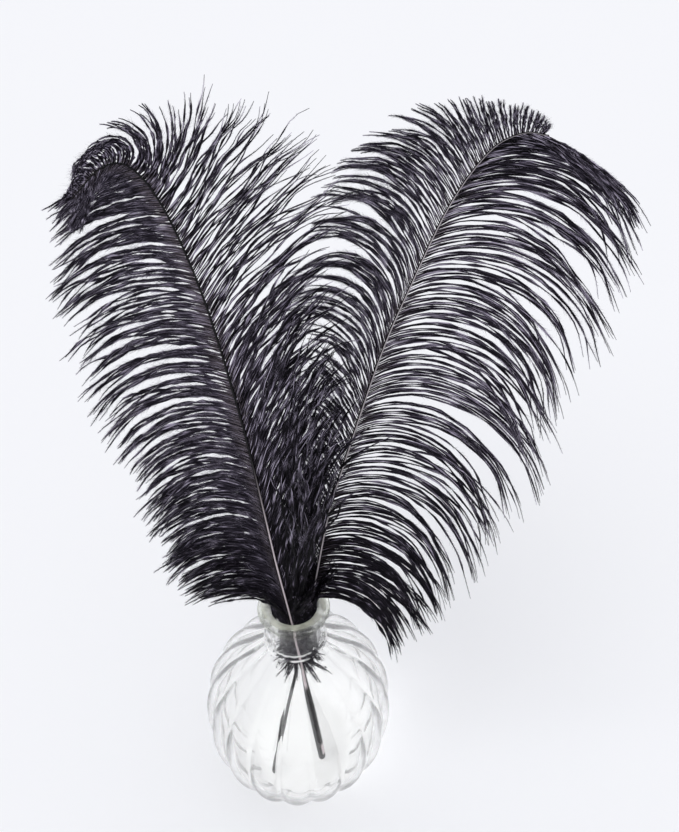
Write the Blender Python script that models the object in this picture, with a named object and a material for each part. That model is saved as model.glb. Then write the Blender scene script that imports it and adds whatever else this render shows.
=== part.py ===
"""Two black ostrich plumes standing in a fluted bud vase of clear glass.

Metres, +Z up. The origin is the centre of the vase's flat base, on the vase's axis.
The plumes show their faces to -Y. Each plume is one solid: a shaft with a row of
locks, which are bundles of barbs, growing from both of its sides.
"""

import math
import random

import bmesh
import bpy
from mathutils import Vector

MM = 0.001

# Vase: heights and radii in millimetres.
VASE_HEIGHT = 105.0
LIP_RADIUS = 14.6
BORE_RADIUS = 9.3
NECK_RADIUS = 12.5
NECK_FOOT = 84.0
BELLY_RADIUS = 41.0
BELLY_HEIGHT = 38.0
FOOT_RADIUS = 26.0
FLOOR_THICKNESS = 6.0
WALL = 3.2
FLUTES = 18
COLUMNS_PER_FLUTE = 4
FLUTE_DEPTH = 1.6
BORE_COLUMNS = 36

# Outer profile from the foot to the lip's inner edge: height, radius, share of the flute depth.
OUTER_PROFILE = (
    (0.0, FOOT_RADIUS, 0.5),
    (2.0, FOOT_RADIUS + 2.2, 0.7),
    (11.0, 35.2, 0.95),
    (24.0, 39.8, 1.0),
    (BELLY_HEIGHT, BELLY_RADIUS, 1.0),
    (52.0, 38.9, 1.0),
    (66.0, 31.0, 0.95),
    (77.0, 20.5, 0.7),
    (NECK_FOOT, 13.1, 0.3),
    (NECK_FOOT + 5.0, NECK_RADIUS, 0.1),
    (VASE_HEIGHT - 4.0, NECK_RADIUS, 0.0),
    (VASE_HEIGHT - 2.6, LIP_RADIUS, 0.0),
    (VASE_HEIGHT - 1.2, LIP_RADIUS, 0.0),
    (VASE_HEIGHT, LIP_RADIUS - 1.8, 0.0),
)

# Inner profile from the floor to above the mouth: height, radius.
INNER_PROFILE = (
    (FLOOR_THICKNESS, 24.0),
    (FLOOR_THICKNESS + 3.0, 30.0),
    (24.0, 39.8 - WALL),
    (BELLY_HEIGHT, BELLY_RADIUS - WALL),
    (52.0, 38.9 - WALL),
    (65.0, 28.2),
    (75.0, 18.2),
    (NECK_FOOT - 1.0, BORE_RADIUS + 0.4),
    (NECK_FOOT + 4.0, BORE_RADIUS),
    (VASE_HEIGHT + 8.0, BORE_RADIUS),
)

# Shafts, in millimetres, from the quill's cut end inside the vase to the curled tip.
LEFT_SHAFT = (
    (11.0, -11.5, 6.9),
    (1.6, -7.6, 84.0),
    (-0.9, -6.7, 105.0),
    (-5.0, -5.8, 134.7),
    (-7.7, -5.0, 158.0),
    (-11.4, -2.5, 186.0),
    (-14.8, 0.0, 206.5),
    (-21.8, 4.0, 241.0),
    (-29.5, 5.0, 267.5),
    (-36.0, 1.5, 281.5),
    (-42.0, -4.0, 284.0),
    (-49.5, -10.0, 278.0),
)
RIGHT_SHAFT = (
    (-12.0, -18.0, 6.9),
    (3.1, -2.1, 84.0),
    (7.1, 2.0, 105.0),
    (14.0, 9.0, 146.0),
    (19.0, 13.0, 164.5),
    (28.6, 18.0, 199.0),
    (34.0, 20.0, 217.0),
    (40.0, 21.0, 234.0),
    (50.5, 20.0, 263.0),
    (59.7, 15.0, 281.3),
    (67.0, 9.0, 288.3),
    (72.5, 4.0, 289.3),
)
QUILL_RADIUS = 1.1
TIP_RADIUS = 0.35
TAPER_START = 90.0
CURVE_STEPS = 24
FRAME_REACH = 4.0
FRONT = Vector((0.0, -1.0, 0.0))

# Vanes: each row gives, at a distance along the shaft, how long the barbs are, the angle
# at which they leave the shaft, and how far they then bend towards its root, in degrees.
# tilt is how far they lean to the front at their root and at their tip, and droop is the
# power that puts more of the bend near the tip.
LEFT_OUTER = {
    "side": -1,
    "tilt": (4.0, 34.0),
    "droop": 1.0,
    "rows": (
        (98, 40, 16, 58),
        (112, 44, 20, 74),
        (140, 42, 33, 88),
        (168, 41, 44, 86),
        (190, 42, 53, 76),
        (215, 44, 58, 68),
        (240, 42, 58, 60),
        (258, 37, 60, 54),
        (274, 28, 60, 36),
        (284, 18, 62, -10),
        (292, 14, 50, -16),
        (297, 10, 62, -24),
    ),
}
LEFT_INNER = {
    "side": 1,
    "tilt": (6.0, 20.0),
    "droop": 1.0,
    "rows": (
        (98, 84, 21, -6),
        (132, 76, 22, 0),
        (160, 68, 26, 6),
        (188, 56, 27, 24),
        (212, 54, 35, 34),
        (236, 57, 45, 30),
        (248, 54, 52, 16),
        (257, 48, 55, 3),
        (263, 43, 58, -12),
        (270, 36, 47, -17),
        (275, 28, 58, -52),
        (281, 23, 72, -88),
        (288, 15, 80, -100),
        (297, 9, 60, -60),
    ),
}
RIGHT_OUTER = {
    "side": 1,
    "tilt": (0.0, 38.0),
    "droop": 0.85,
    "rows": (
        (102, 42, 68, 78),
        (122, 52, 66, 82),
        (144, 63, 56, 97),
        (173, 70, 52, 101),
        (200, 75, 47, 104),
        (230, 74, 45, 108),
        (252, 69, 46, 98),
        (268, 62, 43, 91),
        (284, 54, 40, 82),
        (292, 44, 37, 50),
        (300, 34, 30, 20),
    ),
}
RIGHT_INNER = {
    "side": -1,
    "tilt": (4.0, 30.0),
    "droop": 1.5,
    "rows": (
        (102, 34, 32, -12),
        (132, 32, 32, -12),
        (162, 26, 36, 18),
        (190, 33, 36, 22),
        (202, 44, 26, 80),
        (215, 48, 27, 104),
        (231, 46, 32, 96),
        (247, 44, 40, 84),
        (263, 42, 48, 68),
        (274, 40, 52, 58),
        (283, 33, 57, 26),
        (292, 19, 58, -6),
        (300, 12, 75, -40),
        (308, 8, 80, -40),
    ),
}
# Down on the left quill, in the vase's neck. The right quill lies too near the bore for any.
LEFT_DOWN = {
    "side": -1,
    "tilt": (-14.0, -22.0),
    "droop": 1.0,
    "rows": (
        (70, 11, 44, -34),
        (100, 16, 44, -34),
    ),
}

# Locks: sizes in millimetres at each share of a lock's length. The first lock's mark is
# its distance along the shaft, and each plume's locks differ in length by its own seed.
LEFT_FIRST_LOCK = 98.0
RIGHT_FIRST_LOCK = 102.0
LEFT_SEED = 11
RIGHT_SEED = 1
LOCKS_PER_SIDE = 30
DOWN_LOCKS = 4
DOWN_PITCH = 6.5
ROOT_SHARE = 0.62
BARE_TIP = 4.0
LOCK_SECTIONS = (
    (0.12, 1.8, 0.9),
    (0.34, 4.4, 0.8),
    (0.60, 4.8, 0.8),
    (0.84, 3.0, 0.7),
    (1.00, 0.5, 0.3),
)
FULL_WIDTH_LENGTH = 40.0
SHINGLE_TWIST = 45.0
LENGTH_SPREAD = 0.06
PATH_STEPS = 50


def clear_scene():
    for found in list(bpy.data.objects):
        bpy.data.objects.remove(found, do_unlink=True)


def plain_material(name, colour, roughness, transmission=0.0):
    made = bpy.data.materials.new(name)
    made.use_nodes = True
    shader = made.node_tree.nodes["Principled BSDF"]
    shader.inputs["Base Color"].default_value = (*colour, 1.0)
    shader.inputs["Roughness"].default_value = roughness
    shader.inputs["Metallic"].default_value = 0.0
    shader.inputs["Transmission Weight"].default_value = transmission
    made.diffuse_color = (*colour, 1.0)
    return made


def object_from(name, body, made_of):
    """One object from a bmesh, with its normals made to face out and its lengths in metres."""
    bmesh.ops.recalc_face_normals(body, faces=body.faces)
    bmesh.ops.scale(body, vec=(MM, MM, MM), verts=body.verts)
    mesh = bpy.data.meshes.new(name)
    body.to_mesh(mesh)
    body.free()
    mesh.materials.append(made_of)
    made = bpy.data.objects.new(name, mesh)
    bpy.context.scene.collection.objects.link(made)
    return made


def lathe(rings, columns, radius_at):
    """A closed solid from rings of (height, ...) rows, each with its own radius rule."""
    body = bmesh.new()
    loops = []
    for ring in rings:
        loop = []
        for column in range(columns):
            turn = math.tau * column / columns
            radius = radius_at(ring, turn)
            loop.append(body.verts.new((radius * math.cos(turn), radius * math.sin(turn), ring[0])))
        loops.append(loop)
    for lower, upper in zip(loops, loops[1:]):
        for column in range(columns):
            beside = (column + 1) % columns
            body.faces.new((lower[column], lower[beside], upper[beside], upper[column]))
    body.faces.new(loops[0])
    body.faces.new(loops[-1])
    return body


def fluted_radius(ring, turn):
    """Round lobes that meet in sharp grooves, FLUTES of them around the vase."""
    _, radius, share = ring
    groove = 1.0 - abs(math.sin(turn * FLUTES / 2.0))
    return radius - FLUTE_DEPTH * share * groove


def build_vase():
    glass = plain_material("clear_glass", (0.86, 0.89, 0.86), 0.03, 1.0)
    columns = FLUTES * COLUMNS_PER_FLUTE
    vase = object_from("vase", lathe(OUTER_PROFILE, columns, fluted_radius), glass)
    hollow = lathe(INNER_PROFILE, BORE_COLUMNS, lambda ring, _: ring[1])
    cutter = object_from("vase_hollow", hollow, glass)
    cutter.hide_render = True
    cutter.display_type = "WIRE"
    cut = vase.modifiers.new("hollow", "BOOLEAN")
    cut.operation = "DIFFERENCE"
    cut.solver = "EXACT"
    cut.object = cutter
    vase.data.shade_smooth()


class Shaft:
    """A smooth curve through a plume's shaft points, read by the distance along it."""

    def __init__(self, points):
        ends = [Vector(point) for point in points]
        before = 2 * ends[0] - ends[1]
        after = 2 * ends[-1] - ends[-2]
        knots = [before, *ends, after]
        self.points = []
        for start in range(1, len(knots) - 2):
            p0, p1, p2, p3 = knots[start - 1 : start + 3]
            for step in range(CURVE_STEPS):
                t = step / CURVE_STEPS
                a = 2 * p1 + (p2 - p0) * t
                b = (2 * p0 - 5 * p1 + 4 * p2 - p3) * t**2
                c = (3 * p1 - p0 - 3 * p2 + p3) * t**3
                self.points.append((a + b + c) / 2)
        self.points.append(ends[-1])
        self.marks = [0.0]
        for one, two in zip(self.points, self.points[1:]):
            self.marks.append(self.marks[-1] + (two - one).length)
        self.length = self.marks[-1]

    def at(self, distance):
        distance = min(max(distance, 0.0), self.length)
        upper = next(i for i, mark in enumerate(self.marks) if mark >= distance)
        if upper == 0:
            return self.points[0].copy()
        low, high = self.marks[upper - 1], self.marks[upper]
        share = (distance - low) / (high - low)
        return self.points[upper - 1].lerp(self.points[upper], share)

    def frame(self, distance):
        """Along the shaft, out of the plume's front face, and across the plume to +X."""
        along = (self.at(distance + FRAME_REACH) - self.at(distance - FRAME_REACH)).normalized()
        front = (FRONT - along * FRONT.dot(along)).normalized()
        return along, front, along.cross(front)

    def radius(self, distance):
        taper = max(0.0, (distance - TAPER_START) / (self.length - TAPER_START))
        return QUILL_RADIUS + (TIP_RADIUS - QUILL_RADIUS) * taper


def row_at(rows, distance):
    """Length, angle and bend of the barbs at a distance along the shaft."""
    if distance <= rows[0][0]:
        return rows[0][1:]
    for low, high in zip(rows, rows[1:]):
        if distance <= high[0]:
            share = (distance - low[0]) / (high[0] - low[0])
            return tuple(a + (b - a) * share for a, b in zip(low[1:], high[1:]))
    return rows[-1][1:]


def barb_path(shaft, vane, distance, stretch=1.0):
    """Points down one barb, each with the barb's wide and thick directions.

    Neighbours lie over each other like shingles: the barb's face turns away from the
    plume's face where the barb runs up or down the shaft, and not where it runs across.
    """
    length, angle, bend = row_at(vane["rows"], distance)
    along, front, across = shaft.frame(distance)
    outward = across * vane["side"]
    tilt_root, tilt_tip = vane["tilt"]
    point = shaft.at(distance) + outward * shaft.radius(distance)
    step = length * stretch / PATH_STEPS
    path = []
    for index in range(PATH_STEPS + 1):
        share = index / PATH_STEPS
        turn = math.radians(angle + bend * share ** vane["droop"])
        tilt = math.radians(tilt_root + (tilt_tip - tilt_root) * share)
        flat = along * math.cos(turn) + outward * math.sin(turn)
        beside = along * math.sin(turn) - outward * math.cos(turn)
        face = front * math.cos(tilt) - flat * math.sin(tilt)
        twist = math.radians(-SHINGLE_TWIST) * math.cos(turn)
        wide = beside * math.cos(twist) - face * math.sin(twist)
        thick = face * math.cos(twist) + beside * math.sin(twist)
        path.append((point.copy(), wide, thick))
        point += (flat * math.cos(tilt) + front * math.sin(tilt)) * step
    return path


def add_lock(body, root, path):
    """Grows one lock out of four shaft corners, and closes it with a small end face.

    A lock's front and back are cut into triangles along the same diagonal, so that the
    thin sheet stays open where it twists.
    """
    length = sum((two[0] - one[0]).length for one, two in zip(path, path[1:]))
    slimness = min(1.0, length / FULL_WIDTH_LENGTH)
    ring = root
    for share, width, thickness in LOCK_SECTIONS:
        point, wide, thick = path[round(share * PATH_STEPS)]
        wide = wide * width * slimness / 2
        thick = thick * thickness / 2
        corners = (point - wide - thick, point - wide + thick, point + wide + thick, point + wide - thick)
        grown = [body.verts.new(corner) for corner in corners]
        for index in range(4):
            beyond = (index + 1) % 4
            if index == 3:
                body.faces.new((ring[index], ring[beyond], grown[beyond]))
                body.faces.new((ring[index], grown[beyond], grown[index]))
            else:
                body.faces.new((ring[index], ring[beyond], grown[index]))
                body.faces.new((ring[beyond], grown[beyond], grown[index]))
        ring = grown
    body.faces.new(ring)


def lock_marks(shaft, vanes, down, first_lock):
    """Distances along the shaft, each with the vanes that grow from there to the next one."""
    marks = [(0.0, ()), (first_lock / 3, ())]
    for lock in range(DOWN_LOCKS):
        start = first_lock + (lock - DOWN_LOCKS) * DOWN_PITCH
        marks += [(start, down), (start + DOWN_PITCH * ROOT_SHARE, ())]
    pitch = (shaft.length - BARE_TIP - first_lock) / LOCKS_PER_SIDE
    for lock in range(LOCKS_PER_SIDE):
        start = first_lock + lock * pitch
        marks += [(start, vanes), (start + pitch * ROOT_SHARE, ())]
    marks.append((shaft.length, ()))
    return marks


def shaft_ring(body, shaft, distance):
    """Six corners around the shaft, of which 5 and 0 face +X and 2 and 3 face -X."""
    centre = shaft.at(distance)
    _, front, across = shaft.frame(distance)
    radius = shaft.radius(distance)
    ring = []
    for corner in range(6):
        turn = math.radians(60 * corner - 30)
        ring.append(body.verts.new(centre + (across * math.cos(turn) + front * math.sin(turn)) * radius))
    return ring


def build_plume(name, shaft_points, vanes, down, first_lock, seed):
    """One closed solid: a six-sided shaft, and locks grown out of its two narrow sides."""
    spread = random.Random(seed)
    shaft = Shaft(shaft_points)
    marks = lock_marks(shaft, vanes, down, first_lock)
    body = bmesh.new()
    rings = [shaft_ring(body, shaft, distance) for distance, _ in marks]
    body.faces.new(rings[0])
    body.faces.new(rings[-1])
    for index, (lower, upper) in enumerate(zip(rings, rings[1:])):
        growing = {vane["side"]: vane for vane in marks[index][1]}
        middle = (marks[index][0] + marks[index + 1][0]) / 2
        for corner in range(6):
            beyond = (corner + 1) % 6
            vane = growing.get({0: 1, 3: -1}.get(corner))
            if vane is None:
                body.faces.new((lower[corner], lower[beyond], upper[beyond], upper[corner]))
                continue
            back, front = (corner, beyond) if corner == 0 else (beyond, corner)
            root = (lower[back], lower[front], upper[front], upper[back])
            stretch = 1.0 + spread.uniform(-LENGTH_SPREAD, LENGTH_SPREAD)
            add_lock(body, root, barb_path(shaft, vane, middle, stretch))
    object_from(name, body, bpy.data.materials["black_plume"])


clear_scene()
build_vase()
plain_material("black_plume", (0.02, 0.018, 0.024), 0.75)
left_vanes = (LEFT_OUTER, LEFT_INNER)
right_vanes = (RIGHT_OUTER, RIGHT_INNER)
build_plume("left_plume", LEFT_SHAFT, left_vanes, (LEFT_DOWN,), LEFT_FIRST_LOCK, LEFT_SEED)
build_plume("right_plume", RIGHT_SHAFT, right_vanes, (), RIGHT_FIRST_LOCK, RIGHT_SEED)
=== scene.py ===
"""Two black ostrich plumes in a bud vase of clear glass, dressed for a studio picture.

Metres, +Z up, with the origin at the centre of the vase's base. Lengths named in the
sections are in millimetres, and MM turns them to metres.
"""

import math

import bpy
import numpy as np
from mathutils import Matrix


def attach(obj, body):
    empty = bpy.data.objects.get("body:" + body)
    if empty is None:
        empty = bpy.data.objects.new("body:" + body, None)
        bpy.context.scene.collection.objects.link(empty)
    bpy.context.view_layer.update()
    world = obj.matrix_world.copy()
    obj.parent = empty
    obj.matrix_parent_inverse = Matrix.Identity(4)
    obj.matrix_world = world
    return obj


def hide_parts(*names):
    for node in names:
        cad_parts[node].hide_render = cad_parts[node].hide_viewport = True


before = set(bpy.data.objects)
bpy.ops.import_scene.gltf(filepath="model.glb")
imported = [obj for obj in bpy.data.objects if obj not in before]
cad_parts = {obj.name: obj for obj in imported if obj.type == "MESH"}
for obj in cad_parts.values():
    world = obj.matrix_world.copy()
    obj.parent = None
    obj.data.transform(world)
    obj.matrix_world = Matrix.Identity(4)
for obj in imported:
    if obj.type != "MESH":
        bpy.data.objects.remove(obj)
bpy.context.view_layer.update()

# ---- The glass vase -----------------------------------------------------------------
# A bud vase of clear soda-lime glass, pressed in a mould with eighteen round lobes and
# fire polished. The lobes fade out at the neck, which ends in a plain flat-topped lip.

MM = 0.001
FLUTES = 18
FLUTE_DEPTH = 1.6
GROOVE_ROUNDING = 0.05
VASE_COLUMNS = 216
VASE_STEPS = 5
# The wall's two ends stop this far from the axis.
AXIS_GAP = 0.02

# From the middle of the base, out and up to the lip, and back down the bore to the floor:
# height, radius, share of the flute depth.
VASE_PROFILE = (
    (1.0, 0.0, 0.0),
    (1.0, 14.0, 0.0),
    (0.7, 20.0, 0.1),
    (0.0, 24.4, 0.4),
    (0.3, 26.2, 0.5),
    (2.0, 28.6, 0.7),
    (11.0, 35.2, 0.95),
    (24.0, 39.8, 1.0),
    (38.0, 41.0, 1.0),
    (52.0, 38.9, 1.0),
    (66.0, 31.0, 0.95),
    (77.0, 20.5, 0.8),
    (82.5, 14.8, 0.5),
    (84.0, 13.0, 0.2),
    (84.8, 13.2, 0.0),
    (86.0, 12.6, 0.0),
    (96.0, 12.4, 0.0),
    (100.6, 12.5, 0.0),
    (101.6, 13.6, 0.0),
    (102.6, 14.5, 0.0),
    (103.8, 14.5, 0.0),
    (104.7, 13.8, 0.0),
    (105.0, 12.6, 0.0),
    (104.8, 10.8, 0.0),
    (104.3, 9.8, 0.0),
    (103.0, 9.35, 0.0),
    (96.0, 9.3, 0.0),
    (86.5, 9.4, 0.1),
    (83.0, 10.6, 0.35),
    (75.0, 18.2, 0.7),
    (65.0, 28.2, 0.95),
    (52.0, 35.7, 1.0),
    (38.0, 37.8, 1.0),
    (24.0, 36.6, 1.0),
    (13.0, 32.0, 0.9),
    (8.0, 27.0, 0.6),
    (6.0, 18.0, 0.2),
    (5.6, 0.0, 0.0),
)
# The row of the profile where the bore begins.
BORE_ROW = 23


def smooth_curve(knots, steps):
    """Catmull-Rom curve through the knots, steps points to a span."""
    knots = np.array(knots, float)
    ends = np.vstack([2 * knots[0] - knots[1], knots, 2 * knots[-1] - knots[-2]])
    p0, p1, p2, p3 = ends[:-3, None], ends[1:-2, None], ends[2:-1, None], ends[3:, None]
    t = (np.arange(steps) / steps)[None, :, None]
    curve = 2 * p1 + (p2 - p0) * t
    curve = curve + (2 * p0 - 5 * p1 + 4 * p2 - p3) * t**2
    curve = curve + (3 * p1 - p0 - 3 * p2 + p3) * t**3
    return np.vstack([curve.reshape(-1, knots.shape[1]) / 2, knots[-1:]])


def mesh_piece(name, points, faces, uvs):
    """An object from arrays of points (mm), corner numbers and one UV to a point."""
    points = np.asarray(points, np.float32) * MM
    faces = np.asarray(faces, np.int32)
    mesh = bpy.data.meshes.new(name)
    mesh.vertices.add(len(points))
    mesh.vertices.foreach_set("co", points.ravel())
    mesh.loops.add(faces.size)
    mesh.loops.foreach_set("vertex_index", faces.ravel())
    mesh.polygons.add(len(faces))
    starts = np.arange(len(faces), dtype=np.int32) * faces.shape[1]
    mesh.polygons.foreach_set("loop_start", starts)
    layer = mesh.uv_layers.new(name="OFBake")
    layer.data.foreach_set("uv", np.asarray(uvs, np.float32)[faces.ravel()].ravel())
    mesh.update(calc_edges=True)
    mesh.validate()
    mesh.shade_smooth()
    made = bpy.data.objects.new(name, mesh)
    bpy.context.scene.collection.objects.link(made)
    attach(made, "root")
    return made


def linear(hex_colour):
    """sRGB hex to a linear colour with alpha."""
    parts = [int(hex_colour[i : i + 2], 16) / 255 for i in (1, 3, 5)]
    return [p / 12.92 if p <= 0.04045 else ((p + 0.055) / 1.055) ** 2.4 for p in parts] + [1.0]


def new_material(name):
    """A material with a Principled shader, and that shader."""
    made = bpy.data.materials.new(name)
    made.use_nodes = True
    return made, made.node_tree.nodes["Principled BSDF"]


def add_node(material, kind, inputs, **settings):
    """Adds a node. Its inputs are values or other nodes' outputs, by name or in order."""
    made = material.node_tree.nodes.new("ShaderNode" + kind)
    for name, value in settings.items():
        setattr(made, name, value)
    for socket, value in inputs.items() if isinstance(inputs, dict) else enumerate(inputs):
        if isinstance(value, bpy.types.NodeSocket):
            material.node_tree.links.new(value, made.inputs[socket])
        else:
            made.inputs[socket].default_value = value
    return made


def turned_rows(profile, columns):
    """Points, faces and UVs of a fluted turned wall."""
    turn = math.tau * np.arange(columns + 1) / columns
    lobe = np.sqrt(np.sin(turn * FLUTES / 2) ** 2 + GROOVE_ROUNDING**2)
    groove = np.clip(1 - lobe, 0, 1)
    radius = profile[:, 1:2] - FLUTE_DEPTH * profile[:, 2:3] * groove[None, :]
    radius = np.maximum(radius, 0)
    height = np.broadcast_to(profile[:, 0:1], radius.shape)
    points = np.stack([radius * np.cos(turn), radius * np.sin(turn), height], axis=-1)
    across, up = np.meshgrid(turn / math.tau, np.linspace(0, 1, len(profile)))
    rows, wide = radius.shape
    number = np.arange(rows * wide).reshape(rows, wide)
    a, b, c, d = number[:-1, :-1], number[:-1, 1:], number[1:, 1:], number[1:, :-1]
    faces = np.stack([a, b, c, d], axis=-1)
    return points.reshape(-1, 3), faces.reshape(-1, 4), np.stack([across, up], -1).reshape(-1, 2)


profile = smooth_curve(VASE_PROFILE, VASE_STEPS)
profile[:, 1] = np.maximum(profile[:, 1], AXIS_GAP)
inside = np.arange(len(profile)) > BORE_ROW * VASE_STEPS
vase = mesh_piece("glass_vase", *turned_rows(profile, VASE_COLUMNS))

# Pressed soda-lime glass: clear and colourless in the thin wall, with a slow waviness left
# by the mould. The neck and lip turn plainer, as more light goes straight through them.
GLASS_TINT = "#fefefd"
# Matched to how the glass looks: real soda-lime glass has about 1.52 and bends light more than
# this.
GLASS_IOR = 1.22
WAVE_ACROSS = 14.0
WAVE_DEPTH = 0.06
# This share of the light goes straight through the thin wall and isn't bent.
CLEAR_SHARE = 0.1
NECK_COLOUR = "#f4f6f0"
# From here on, ranges are given as a node takes them: from, to, and the values there.
NECK_RANGE = (96.0 * MM, 101.0 * MM, 0.0, 0.5)
glass, shader = new_material("pressed_soda_lime_glass")
place = add_node(glass, "TexCoord", {}).outputs["Object"]
height = add_node(glass, "SeparateXYZ", {"Vector": place}).outputs["Z"]
waves = {"Vector": place, "Scale": 1 / (WAVE_ACROSS * MM), "Detail": 1.0}
waves = add_node(glass, "TexNoise", waves).outputs["Fac"]
wavy = add_node(glass, "Bump", {"Height": waves, "Strength": WAVE_DEPTH, "Distance": 1 * MM})
glass.node_tree.links.new(wavy.outputs["Normal"], shader.inputs["Normal"])
shader.inputs["Base Color"].default_value = linear(GLASS_TINT)
shader.inputs["Roughness"].default_value = 0.0
shader.inputs["IOR"].default_value = GLASS_IOR
shader.inputs["Transmission Weight"].default_value = 1.0
# Lamps shine through the thin wall, so the paper under it stays bright.
lamp_ray = add_node(glass, "LightPath", {}).outputs["Is Shadow Ray"]
straight = add_node(glass, "Math", (lamp_ray, CLEAR_SHARE), operation="MAXIMUM").outputs[0]
let_through = add_node(glass, "BsdfTransparent", {}).outputs["BSDF"]
wall = shader.outputs["BSDF"]
wall = add_node(glass, "MixShader", (straight, wall, let_through)).outputs[0]
in_neck = add_node(glass, "MapRange", (height, *NECK_RANGE)).outputs[0]
thick_glass = add_node(glass, "BsdfTransparent", {"Color": linear(NECK_COLOUR)}).outputs["BSDF"]
wall = add_node(glass, "MixShader", (in_neck, wall, thick_glass)).outputs[0]

# The eye looks down through the lip's edge and sees the iron's green there. It comes in
# uneven patches, where the fire-polished edge is thicker.
GREEN = "#dde0ce"
GREEN_HEIGHTS = (101.0 * MM, 103.0 * MM, 0.0, 0.65)
GREEN_RADII = (13.6 * MM, 12.4 * MM, 0.0, 1.0)
GREEN_PATCH = 5.0
GREEN_PATCH_RANGE = (0.42, 0.6, 0.6, 1.0)
level = add_node(glass, "VectorMath", (place, (1, 1, 0)), operation="MULTIPLY").outputs["Vector"]
from_axis = add_node(glass, "VectorMath", (level,), operation="LENGTH").outputs["Value"]
at_rim = add_node(glass, "MapRange", (height, *GREEN_HEIGHTS)).outputs[0]
in_edge = add_node(glass, "MapRange", (from_axis, *GREEN_RADII)).outputs[0]
patches = {"Vector": place, "Scale": 1 / (GREEN_PATCH * MM), "Detail": 1.0}
patches = add_node(glass, "TexNoise", patches).outputs["Fac"]
patches = add_node(glass, "MapRange", (patches, *GREEN_PATCH_RANGE)).outputs[0]
green_share = add_node(glass, "Math", (at_rim, in_edge), operation="MULTIPLY").outputs[0]
green_share = add_node(glass, "Math", (green_share, patches), operation="MULTIPLY").outputs[0]
green_edge = add_node(glass, "BsdfDiffuse", {"Color": linear(GREEN)}).outputs["BSDF"]
wall = add_node(glass, "MixShader", (green_share, wall, green_edge)).outputs[0]

# A painted highlight: a matt white band round the bead at the neck's foot, broken into stretches,
# stands in for the lamp's glint on the solid glass.
BEAD_BOTTOM = (83.9 * MM, 84.3 * MM, 0.0, 1.0)
BEAD_TOP = (85.4 * MM, 85.0 * MM, 0.0, 1.0)
PAINTED_GLINT_STRETCH = 6.0
PAINTED_GLINT_RANGE = (0.45, 0.53, 0.0, 0.75)
over_bottom = add_node(glass, "MapRange", (height, *BEAD_BOTTOM)).outputs[0]
under_top = add_node(glass, "MapRange", (height, *BEAD_TOP)).outputs[0]
stretches = {"Vector": place, "Scale": 1 / (PAINTED_GLINT_STRETCH * MM), "Detail": 1.0}
stretches = add_node(glass, "TexNoise", stretches).outputs["Fac"]
stretches = add_node(glass, "MapRange", (stretches, *PAINTED_GLINT_RANGE)).outputs[0]
painted_glint = add_node(glass, "Math", (over_bottom, under_top), operation="MULTIPLY").outputs[0]
painted_glint = add_node(glass, "Math", (painted_glint, stretches), operation="MULTIPLY").outputs[0]
painted_white = add_node(glass, "BsdfDiffuse", {"Color": linear("#ffffff")}).outputs["BSDF"]
wall = add_node(glass, "MixShader", (painted_glint, wall, painted_white)).outputs[0]
surface = glass.node_tree.nodes["Material Output"].inputs["Surface"]
glass.node_tree.links.new(wall, surface)
vase.data.materials.append(glass)
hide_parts("vase")

# ---- The two shafts -----------------------------------------------------------------
# The bare quill and the shaft of each plume are one tapering rod of horn, dyed black with
# the barbs. The flat front face stays pale in the middle, partly because the dye takes less
# there and partly as a painted highlight down that face.

LEFT_SHAFT = (
    (11.0, -11.5, 6.9),
    (1.6, -7.6, 84.0),
    (-0.9, -6.7, 105.0),
    (-5.0, -5.8, 134.7),
    (-7.7, -5.0, 158.0),
    (-11.4, -2.5, 186.0),
    (-14.8, 0.0, 206.5),
    (-21.8, 4.0, 241.0),
    (-29.5, 5.0, 267.5),
    (-36.0, 1.5, 281.5),
    (-42.0, -4.0, 284.0),
    (-49.5, -10.0, 278.0),
)
RIGHT_SHAFT = (
    (-12.0, -18.0, 6.9),
    (3.1, -2.1, 84.0),
    (7.1, 2.0, 105.0),
    (14.0, 9.0, 146.0),
    (19.0, 13.0, 164.5),
    (28.6, 18.0, 199.0),
    (34.0, 20.0, 217.0),
    (40.0, 21.0, 234.0),
    (50.5, 20.0, 263.0),
    (59.7, 15.0, 281.3),
    (67.0, 9.0, 288.3),
    (72.5, 4.0, 289.3),
)
# Shaft radius at distances along it.
LEFT_RADII = (
    (0, 1.85), (40, 1.7), (62, 1.15), (82, 0.8), (105, 0.6), (150, 0.5), (270, 0.3), (310, 0.15)
)
RIGHT_RADII = ((0, 1.2), (12, 0.9), (40, 0.65), (110, 0.6), (200, 0.45), (270, 0.34), (310, 0.2))
SHAFT_SIDES = 12
SHAFT_RING_SPACING = 1.5
CURVE_STEPS = 24
# The shaft's direction is taken over this far to both sides.
FRAME_REACH = 4.0
FRONT = np.array([0.0, -1.0, 0.0])
# Where the front of a shaft lies, as a share of the way round it.
FRONT_TURN = 0.75
# How far from there the pale strip, which is partly a painted highlight, ends, softly.
PALE_HIGHLIGHT_EDGE = (0.05, 0.12, 1.0, 0.0)
# Growth streaks: their width in mm, how far they are drawn out and how dark they get.
STREAK_WIDTH = 0.4
STREAK_STRETCH = 12
STREAK_RANGE = (0.3, 0.7, 0.75, 1.0)
# The white strip at the cut, which is partly a painted highlight, in shares around the quill and
# along it.
PITH_HIGHLIGHT_SIDE = (0.78, 0.81, 0.0, 1.0)
PITH_HIGHLIGHT_LENGTH = ((0.012, 0.014, 0.0, 1.0), (0.047, 0.040, 0.0, 1.0))


def unit(vectors):
    return vectors / np.maximum(np.linalg.norm(vectors, axis=-1, keepdims=True), 1e-9)


def read_off(pairs, places):
    """Values at the places, from pairs of place and value."""
    return np.interp(places, *zip(*pairs))


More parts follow.
